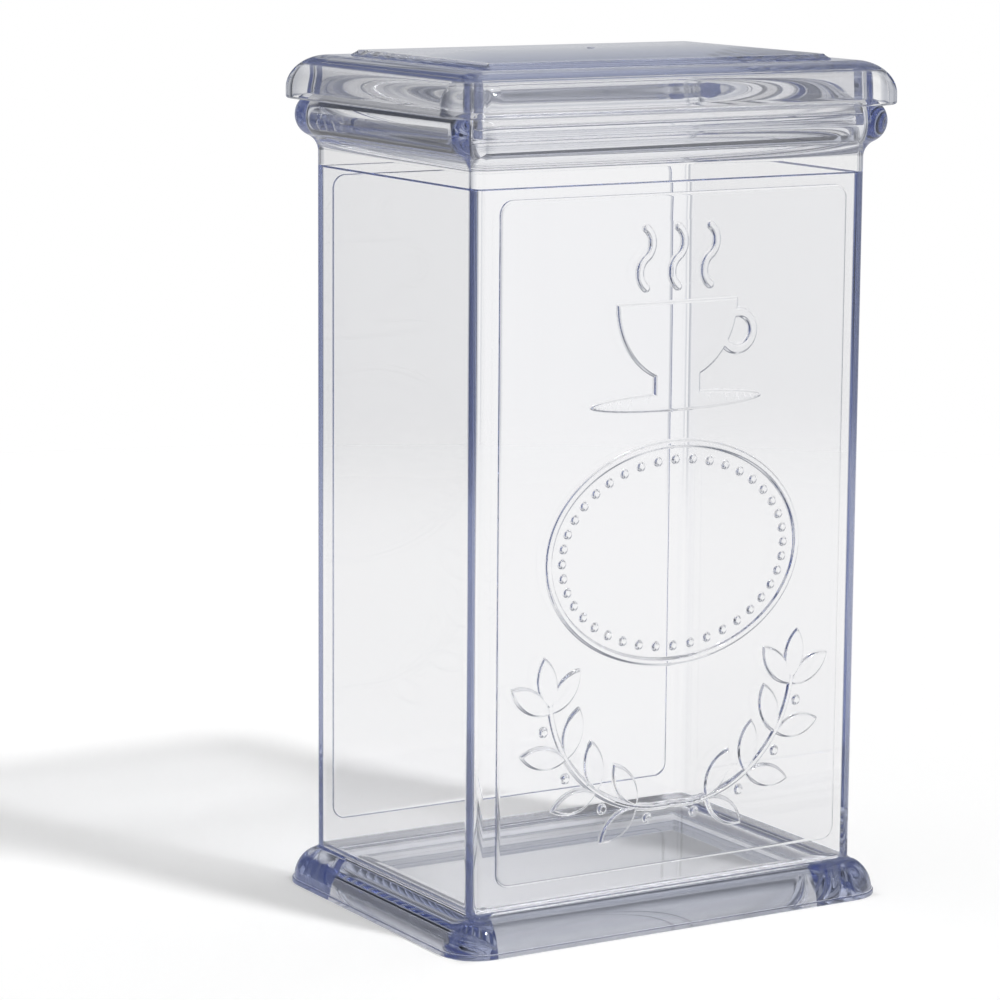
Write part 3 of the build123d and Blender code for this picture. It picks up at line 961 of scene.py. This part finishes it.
def makeFloor():
    gathered = Gathered()
    half, drop = studio["floorHalf"] / millimetre, studio["floorDrop"] / millimetre
    corners = np.array([[-1, -1], [1, -1], [1, 1], [-1, 1]]) * half
    gathered.add(np.column_stack([corners, np.full(4, -drop)]), np.tile([0, 0, 1.0], (4, 1)),
                 np.arange(4)[None])
    floor = gathered.makePiece("floor")
    material = bpy.data.materials.new("paleFloor")
    shader = Shader(material)
    _, seen, dim = seenByEye(shader)
    place = shader.add("ShaderNodeTexCoord", output="Object")
    x, y = (shader.add("ShaderNodeSeparateXYZ", output=axis, Vector=place) for axis in (0, 1))
    # Painted shadow under the canister: how far a point lies outside the foot's rectangle
    foot = (halfWidth + plan["flange"]) * millimetre, (halfDepth + plan["flange"]) * millimetre
    outside = (x.size() - foot[0]).larger(y.size() - foot[1])
    under = studio["paintedShadowLeft"]
    paintedShadowGlow = under + (1 - under) * smoothStep(outside, *studio["paintedShadowEdge"])
    # A glow adds what the lamp and the surroundings leave short of white, so shadows stay visible
    lit = sun["strength"] / math.pi * math.sin(math.radians(sun["elevation"])) + studio["ambient"]
    missing = studio["floorWhite"] - lit * studio["floorColour"][0]
    paint = shader.add("ShaderNodeBsdfDiffuse", Color=studio["floorColour"])
    # Under the canister the glow is cut down, which paints a shadow on the floor there
    glow = shader.add("ShaderNodeEmission", Color=(1, 1, 1, 1), Strength=seen * missing * paintedShadowGlow)
    lightFloor = shader.add("ShaderNodeAddShader", _0=paint, _1=glow)
    dark = shader.add("ShaderNodeEmission", Color=(0, 0, 0, 1))
    dimmed = shader.add("ShaderNodeMixShader", _0=1 - seen * (1 - dim), _1=dark, _2=lightFloor)
    nothing = shader.add("ShaderNodeBsdfTransparent", Color=(1, 1, 1, 1))
    edge = smoothStep((x * x + y * y) ** 0.5, *studio["floorFade"])
    surface = shader.add("ShaderNodeMixShader", _0=edge, _1=dimmed, _2=nothing)
    shader.add("ShaderNodeOutputMaterial", Surface=surface)
    floor.data.materials.append(material)


def makeSun():
    light = bpy.data.lights.new("sun", "SUN")
    light.energy, light.angle = sun["strength"], math.radians(sun["angle"])
    lamp = bpy.data.objects.new("sun", light)
    bpy.context.collection.objects.link(lamp)
    turn, up = math.radians(sun["azimuth"]), math.radians(sun["elevation"])
    towards = Vector((math.cos(turn) * math.cos(up), math.sin(turn) * math.cos(up), math.sin(up)))
    lamp.location = towards
    lamp.rotation_euler = towards.to_track_quat("Z", "Y").to_euler()


def makeSurroundings():
    world = bpy.data.worlds.new("studio")
    bpy.context.scene.world = world
    shader = Shader(world)
    world.cycles.sampling_method = "NONE"
    camera, seen, dim = seenByEye(shader)
    way = shader.add("ShaderNodeTexCoord", output="Generated")
    x, y, height = (shader.add("ShaderNodeSeparateXYZ", output=axis, Vector=way) for axis in range(3))
    middle, swing = studio["panelLevel"]
    wave = (y.maths("ARCTAN2", y, x) - math.radians(studio["panelTurn"])) * studio["panels"]
    panels = (middle + swing * wave.maths("COSINE", wave)).clamp()
    above = smoothStep(height, *studio["backdropTop"]) - smoothStep(height, *studio["overhead"])

    def towards(degrees, reach):
        # The smooth step of x cos t + y sin t, which is how much the direction points along the turn
        turn = math.radians(degrees)
        return smoothStep(math.cos(turn) * x + math.sin(turn) * y, *reach)

    behind = towards(studio["duskLiftTurn"], studio["duskLiftReach"])
    behind = behind * smoothStep(height, *studio["duskLiftHeight"])
    dusk = above * (1 - studio["dusk"]) * (1 - studio["duskLift"] * behind)
    flag = studio["flagShade"] * towards(studio["flagTurn"], studio["flagReach"])
    gaps = studio["lowGaps"] + (1 - studio["lowGaps"]) * smoothStep(height, *studio["panelFoot"])
    shown = (1 - gaps * (1 - panels)) * (1 - dusk) * (1 - flag) * dim
    strength = camera + (1 - camera) * (seen * shown + (1 - seen) * studio["ambient"])
    tint = shader.add("ShaderNodeMix", {"data_type": "RGBA"}, 2, _0=1 - seen * (1 - camera) * (1 - shown),
                      _6=studio["dimTint"], _7=(1, 1, 1, 1))
    sky = shader.add("ShaderNodeBackground", Color=tint, Strength=strength)
    shader.add("ShaderNodeOutputWorld", Surface=sky)


makeCamera()
makeFloor()
makeSun()
makeSurroundings()
scene = bpy.context.scene
scene.view_settings.view_transform = "Standard"
for kind in ("max", "transmission", "glossy", "transparent_max"):
    setattr(scene.cycles, kind + "_bounces", studio["bounces"])
print("studio ready")
